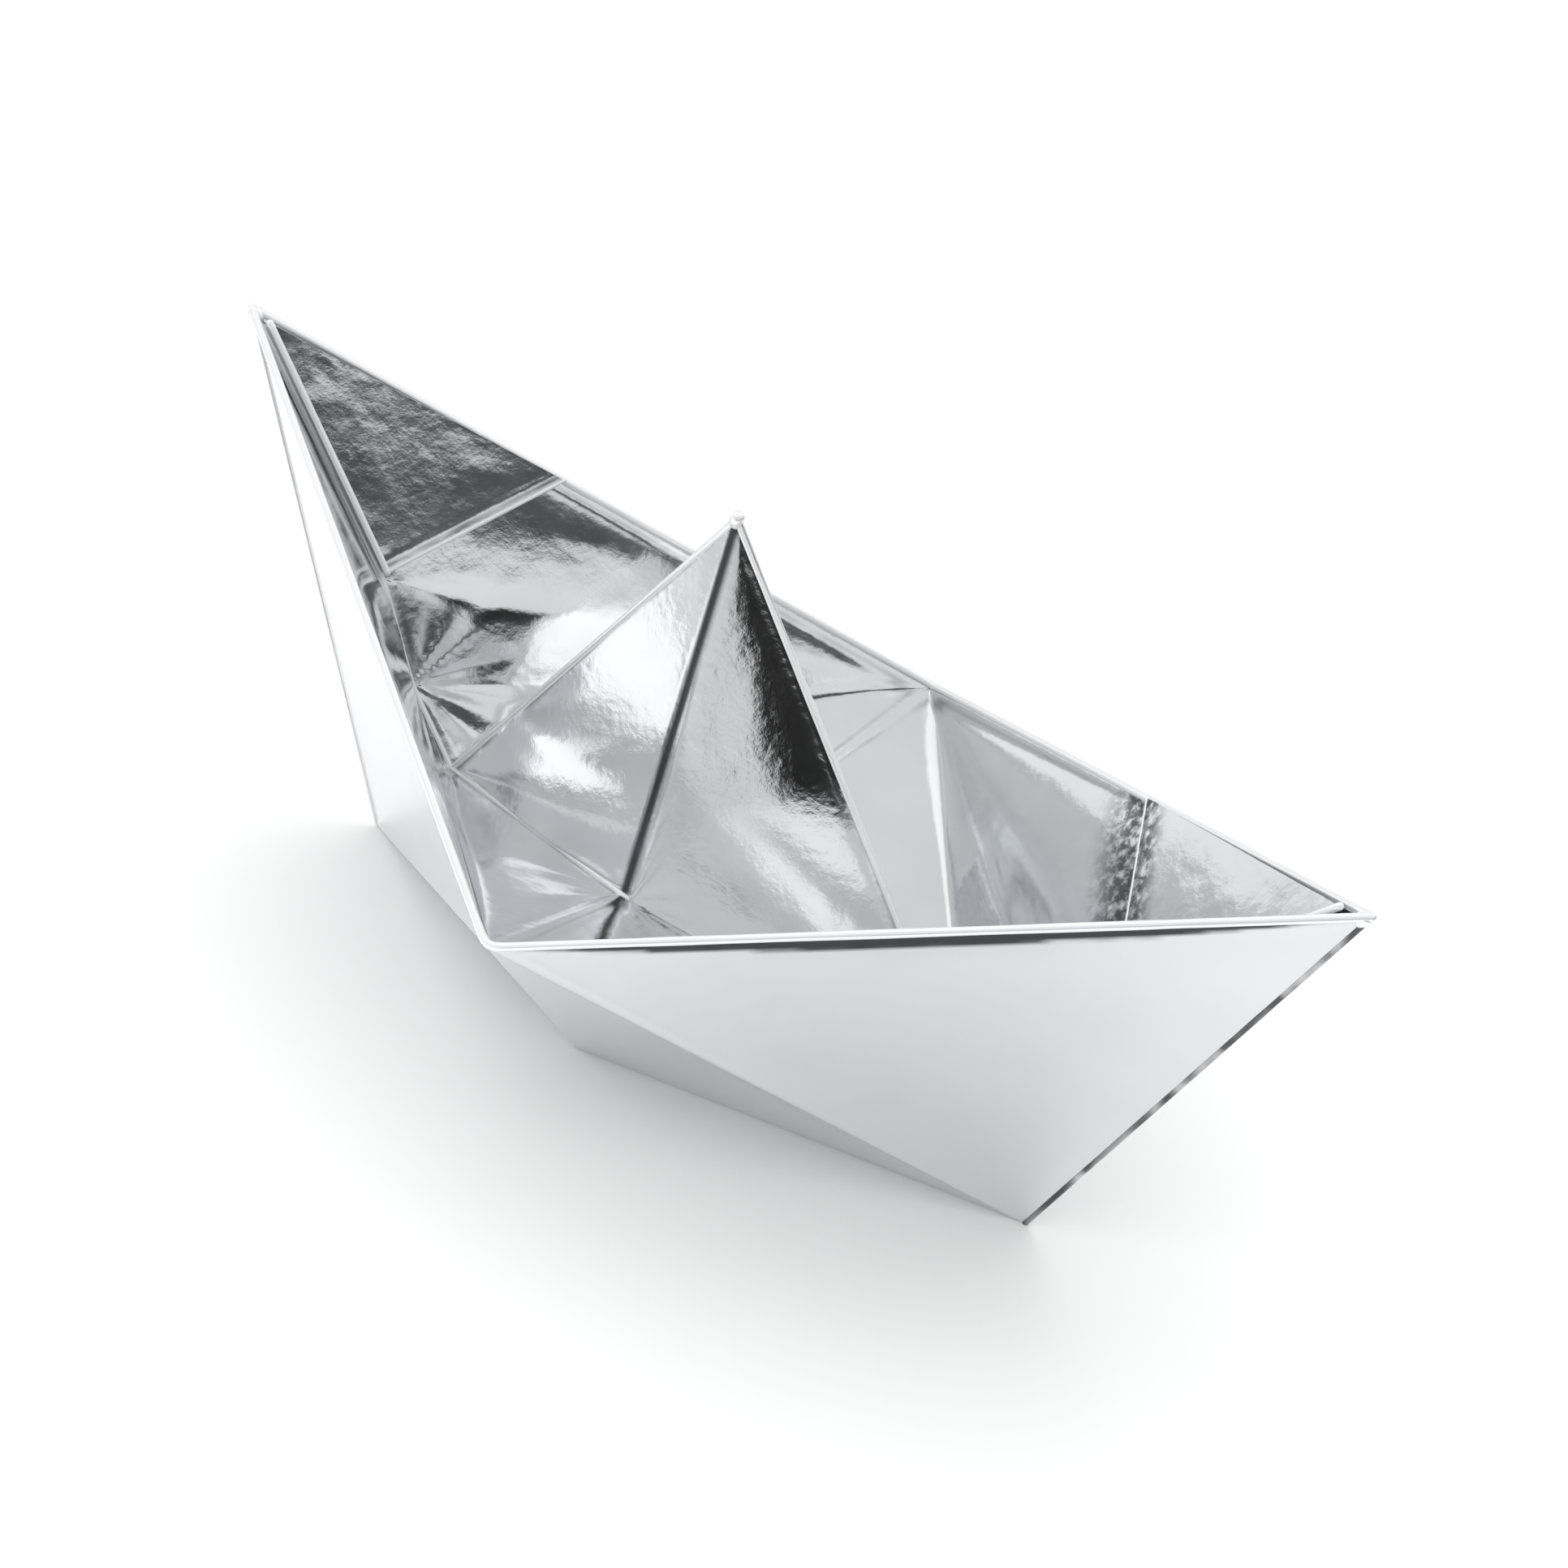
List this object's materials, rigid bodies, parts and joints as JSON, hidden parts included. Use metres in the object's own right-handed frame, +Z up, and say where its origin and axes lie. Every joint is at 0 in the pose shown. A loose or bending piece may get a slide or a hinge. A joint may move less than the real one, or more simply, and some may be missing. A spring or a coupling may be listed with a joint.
{
  "type": "folded paper boat",
  "caption": "Paper boat folded from one sheet of mirror-silver foil card: pointed upswept ends, folded rim, open well and a pyramid sail in the middle.",
  "frame": {"origin": "on the ground below the middle of the boat, at the centre of its bounding box's bottom face", "axes": "+X towards the bow, +Y towards port, +Z up"},
  "size_m": [0.1772, 0.0938, 0.0739],
  "materials": {
    "foil_outside": "mirror-silver foil card, lightly crinkled",
    "foil_inside": "mirror-silver foil card, crinkled at the folds",
    "foil_fold": "mirror-silver foil card, burnished at the fold"
  },
  "bodies": {
    "sail": {"stern_starboard_sail": "foil_outside", "stern_port_sail": "foil_outside", "bow_starboard_sail": "foil_outside", "bow_port_sail": "foil_outside"},
    "starboard_side": {"stern_starboard_wall": "foil_outside", "stern_starboard_bottom": "foil_outside", "stern_starboard_cuff": "foil_inside", "stern_starboard_well": "foil_inside", "stern_starboard_floor": "foil_inside", "stern_starboard_rim": "foil_fold", "bow_starboard_wall": "foil_outside", "bow_starboard_bottom": "foil_outside", "bow_starboard_cuff": "foil_inside", "bow_starboard_well": "foil_inside", "bow_starboard_floor": "foil_inside", "bow_starboard_rim": "foil_fold"},
    "port_side": {"stern_port_wall": "foil_outside", "stern_port_bottom": "foil_outside", "stern_port_cuff": "foil_inside", "stern_port_well": "foil_inside", "stern_port_floor": "foil_inside", "stern_port_rim": "foil_fold", "bow_port_wall": "foil_outside", "bow_port_bottom": "foil_outside", "bow_port_cuff": "foil_inside", "bow_port_well": "foil_inside", "bow_port_floor": "foil_inside", "bow_port_rim": "foil_fold"},
    "stern_flap": {"stern_tuck_flap": "foil_inside"},
    "bow_flap": {"bow_tuck_flap": "foil_inside"}
  },
  "joints": [
    {"name": "starboard_spread", "type": "hinge", "parent": "sail", "child": "starboard_side", "pos_m": [-0.005, -0.017, 0], "axis": [1, 0, 0], "range_deg": [0, 3], "stiffness_Nm_per_rad": 0.02, "springref_deg": -5.73},
    {"name": "port_spread", "type": "hinge", "parent": "sail", "child": "port_side", "pos_m": [-0.005, 0.017, 0], "axis": [1, 0, 0], "range_deg": [-3, 0], "stiffness_Nm_per_rad": 0.02, "springref_deg": 5.73},
    {"name": "stern_flap_fold", "type": "hinge", "parent": "sail", "child": "stern_flap", "pos_m": [-0.06031, 0.00047, 0.03944], "axis": [0.6675, 0, -0.7446], "range_deg": [0, 35]},
    {"name": "bow_flap_fold", "type": "hinge", "parent": "sail", "child": "bow_flap", "pos_m": [0.06031, 0.00047, 0.03944], "axis": [0.6675, 0, 0.7446], "range_deg": [0, 35]}
  ],
  "couplings": [
    {"joint": "port_spread", "follows": "starboard_spread", "ratio": -1}
  ]
}
